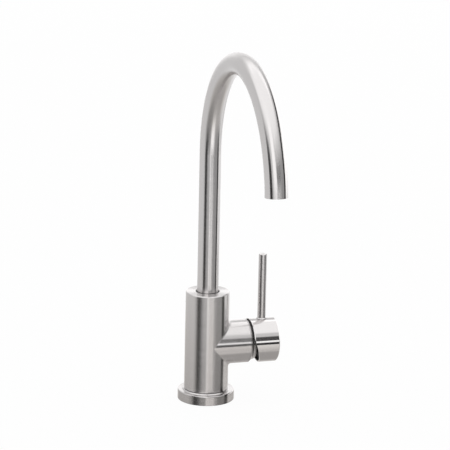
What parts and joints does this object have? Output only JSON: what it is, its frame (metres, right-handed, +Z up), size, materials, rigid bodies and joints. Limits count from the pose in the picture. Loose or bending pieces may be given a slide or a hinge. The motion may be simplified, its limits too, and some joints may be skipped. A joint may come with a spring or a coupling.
{
  "type": "gooseneck bar faucet",
  "caption": "Gooseneck bar faucet with a swivelling spout, a side valve barrel and a straight lever on a tilting, turning handle cap.",
  "frame": {"origin": "centre of the foot's underside, on the deck", "axes": "+Z up along the body and the riser, +X along the valve barrel towards the handle, -Y the way the spout reaches at rest"},
  "size_m": [0.1009, 0.2635, 0.382],
  "materials": {
    "brushed_steel": "fine brushed stainless steel, brushed round the axis of each piece",
    "brass": "turned",
    "ceramic": "lapped",
    "white_plastic": "moulded acetal",
    "dark_acetal": "moulded",
    "black_rubber": "moulded",
    "plain_steel": "plain turned or ground steel"
  },
  "bodies": {
    "root": {"base_ring": "brushed_steel", "base_seal": "black_rubber", "faucet_body": "brushed_steel", "cartridge_base": "white_plastic", "port_seals": "black_rubber", "disc_seals": "black_rubber", "fixed_disc": "ceramic", "cartridge_housing": "white_plastic", "retaining_nut": "brass", "bonnet": "brushed_steel", "spout_thrust_washer": "dark_acetal", "spout_glide_ring": "dark_acetal", "spout_retaining_screw": "plain_steel"},
    "rotor": {"lever_guide": "white_plastic", "pivot_pin": "plain_steel"},
    "disc": {"disc_carrier": "white_plastic", "moving_disc": "ceramic"},
    "handle": {"cartridge_stem": "plain_steel", "handle_cap": "brushed_steel", "stem_grub_screw": "plain_steel", "lever_rod": "brushed_steel"},
    "spout": {"spout_spigot": "brass", "spout_o_rings": "black_rubber", "spout_tube": "brushed_steel", "outlet_sleeve": "brass", "aerator_housing": "white_plastic", "aerator_insert": "white_plastic", "aerator_washer": "black_rubber"}
  },
  "joints": [
    {"name": "spout_swivel", "type": "hinge", "parent": "root", "child": "spout", "pos_m": [0, 0, 0.1], "axis": [0, 0, 1], "continuous": true},
    {"name": "handle_turn", "type": "hinge", "parent": "root", "child": "rotor", "pos_m": [0.0415, 0, 0.0585], "axis": [1, 0, 0], "range_deg": [-50, 50]},
    {"name": "handle_tilt", "type": "hinge", "parent": "rotor", "child": "handle", "pos_m": [0.0415, 0, 0.0585], "axis": [0, 1, 0], "range_deg": [0, 24]},
    {"name": "disc_slide", "type": "slide", "parent": "rotor", "child": "disc", "axis": [0, 0, 1], "range_m": [0, 0.0051]}
  ],
  "couplings": [
    {"joint": "disc_slide", "follows": "handle_tilt", "m_per_rad": 0.01214}
  ]
}
